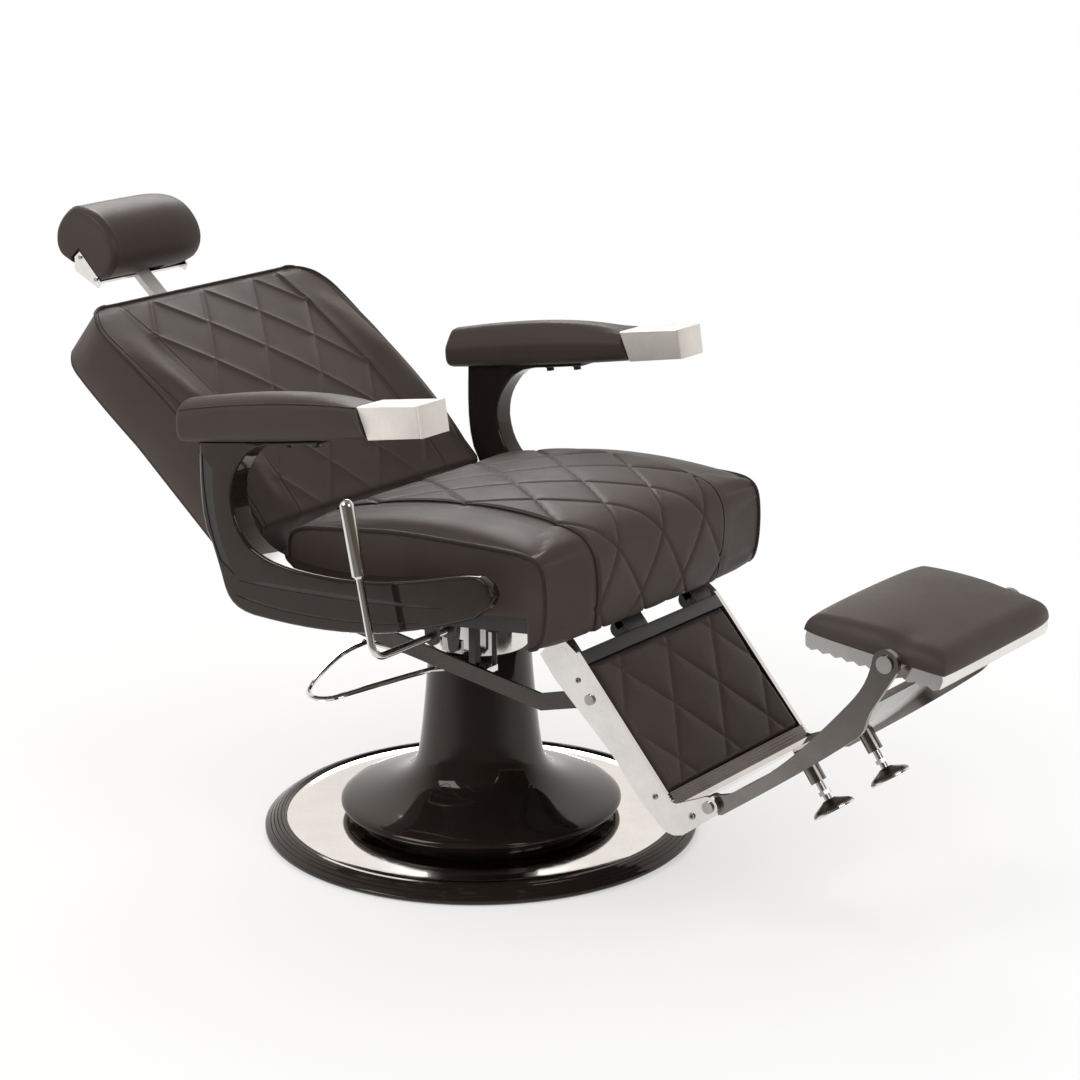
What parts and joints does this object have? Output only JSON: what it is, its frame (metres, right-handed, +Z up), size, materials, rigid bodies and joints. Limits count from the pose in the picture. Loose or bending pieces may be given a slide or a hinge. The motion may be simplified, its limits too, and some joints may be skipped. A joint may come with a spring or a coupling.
{
  "type": "barber chair",
  "caption": "Reclining hydraulic barber chair with round foot, quilted seat and back, looped arms, headrest and a legrest with a folding footrest.",
  "frame": {"origin": "centre of the round foot's underside, on the floor", "axes": "+X the way the sitter faces, +Y the sitter's left, +Z up; shown reclined as in use"},
  "size_m": [1.6732, 0.734, 0.9137],
  "materials": {
    "black_gloss": "gloss",
    "black_paint": "satin",
    "chrome": "mirror polish",
    "steel": "machined",
    "link_steel": "bright",
    "board": "plain plywood",
    "leather": "soft grained, diamond quilted",
    "polished_alu": "polished casting",
    "rubber_black": "matt"
  },
  "bodies": {
    "base": {"base_disc": "black_gloss", "base_mirror": "chrome", "trumpet_cover": "black_gloss", "pump_cylinder": "steel", "pump_gland": "steel"},
    "lift": {"lift_ram": "chrome", "column_sleeve": "chrome", "column_head": "black_paint"},
    "seat": {"swivel_hub": "black_paint", "seat_frame": "black_paint", "seat_board": "board", "seat_cushion": "leather", "arm_right": "black_gloss", "arm_left": "black_gloss", "arm_spacers": "black_paint", "arm_bolts": "steel", "armpad_right": "leather", "armpad_left": "leather", "armcap_right": "chrome", "armcap_left": "chrome", "cap_faces": "chrome", "back_hinge_pins": "steel", "leg_hinge_pin": "steel", "pedal_hanger": "black_paint", "pump_block": "steel"},
    "back": {"back_board": "board", "back_cushion": "leather", "back_straps": "black_paint", "lock_sector": "steel", "head_guide": "black_paint", "link_pin": "steel"},
    "head_post": {"head_bar": "chrome", "head_hinge_pin": "steel"},
    "headrest": {"head_bracket": "chrome", "head_roll": "leather", "head_screws": "steel"},
    "link": {"link_bar": "link_steel"},
    "legrest": {"leg_plates": "chrome", "leg_header": "black_paint", "leg_board": "board", "leg_cushion": "leather", "leg_strip": "polished_alu", "leg_lip": "chrome", "leg_screws": "steel", "link_front_pin": "steel", "fold_pins": "steel"},
    "footrest_arm": {"swing_frame": "polished_alu"},
    "foot_right": {"foot_stem_right": "steel", "foot_glide_right": "rubber_black"},
    "foot_left": {"foot_stem_left": "steel", "foot_glide_left": "rubber_black"},
    "footpad": {"foot_tray": "chrome", "foot_cushion": "leather", "tray_pins": "chrome"},
    "hand_lever": {"hand_lever": "chrome", "hand_grip": "chrome", "release_crank": "steel"},
    "release": {"release_rod": "steel"},
    "pedal": {"pedal_loop": "chrome"},
    "plunger": {"pump_plunger": "chrome"}
  },
  "joints": [
    {"name": "column_lift", "type": "slide", "parent": "base", "child": "lift", "axis": [0, 0, 1], "range_m": [0, 0.15]},
    {"name": "seat_swivel", "type": "hinge", "parent": "lift", "child": "seat", "pos_m": [0, 0, 0.38], "axis": [0, 0, 1], "continuous": true},
    {"name": "back_recline", "type": "hinge", "parent": "seat", "child": "back", "pos_m": [-0.215, 0, 0.42], "axis": [0, -1, 0], "range_deg": [-37, 10]},
    {"name": "back_link", "type": "hinge", "parent": "back", "child": "link", "pos_m": [-0.167, 0, 0.359], "axis": [0, -1, 0], "range_deg": [-10, 37]},
    {"name": "legrest_raise", "type": "hinge", "parent": "seat", "child": "legrest", "pos_m": [0.296, 0, 0.385], "axis": [0, -1, 0], "range_deg": [-37, 10]},
    {"name": "headrest_height", "type": "slide", "parent": "back", "child": "head_post", "axis": [-0.766, 0, 0.6428], "range_m": [-0.05, 0.07]},
    {"name": "headrest_tilt", "type": "hinge", "parent": "head_post", "child": "headrest", "pos_m": [-0.71852, 0, 0.81248], "axis": [0, -1, 0], "range_deg": [-8, 30]},
    {"name": "footrest_fold", "type": "hinge", "parent": "legrest", "child": "footrest_arm", "pos_m": [0.54801, 0, 0.207], "axis": [0, -1, 0], "range_deg": [0, 50]},
    {"name": "footpad_flip", "type": "hinge", "parent": "footrest_arm", "child": "footpad", "pos_m": [0.8174, 0, 0.4689], "axis": [0, 1, 0], "range_deg": [0, 180]},
    {"name": "foot_right_screw", "type": "slide", "parent": "footrest_arm", "child": "foot_right", "axis": [-0.5878, 0, 0.809], "range_m": [0, 0.012]},
    {"name": "foot_left_screw", "type": "slide", "parent": "footrest_arm", "child": "foot_left", "axis": [-0.5878, 0, 0.809], "range_m": [0, 0.012]},
    {"name": "lever_pull", "type": "hinge", "parent": "seat", "child": "hand_lever", "pos_m": [0.104, 0, 0.3885], "axis": [0, -1, 0], "range_deg": [0, 20], "stiffness_Nm_per_rad": 4, "springref_deg": -20.05},
    {"name": "release_slide", "type": "slide", "parent": "seat", "child": "release", "axis": [1, 0, 0], "range_m": [0, 0.0108]},
    {"name": "pedal_press", "type": "hinge", "parent": "seat", "child": "pedal", "pos_m": [0, -0.095, 0.292], "axis": [1, 0, 0], "range_deg": [0, 18], "stiffness_Nm_per_rad": 4, "springref_deg": -22.92},
    {"name": "plunger_slide", "type": "slide", "parent": "seat", "child": "plunger", "axis": [0, 0, 1], "range_m": [0, 0.0082]}
  ],
  "couplings": [
    {"joint": "legrest_raise", "follows": "back_recline", "ratio": 1},
    {"joint": "back_link", "follows": "back_recline", "ratio": -1},
    {"joint": "release_slide", "follows": "lever_pull", "m_per_rad": 0.03},
    {"joint": "plunger_slide", "follows": "pedal_press", "m_per_rad": 0.025}
  ]
}
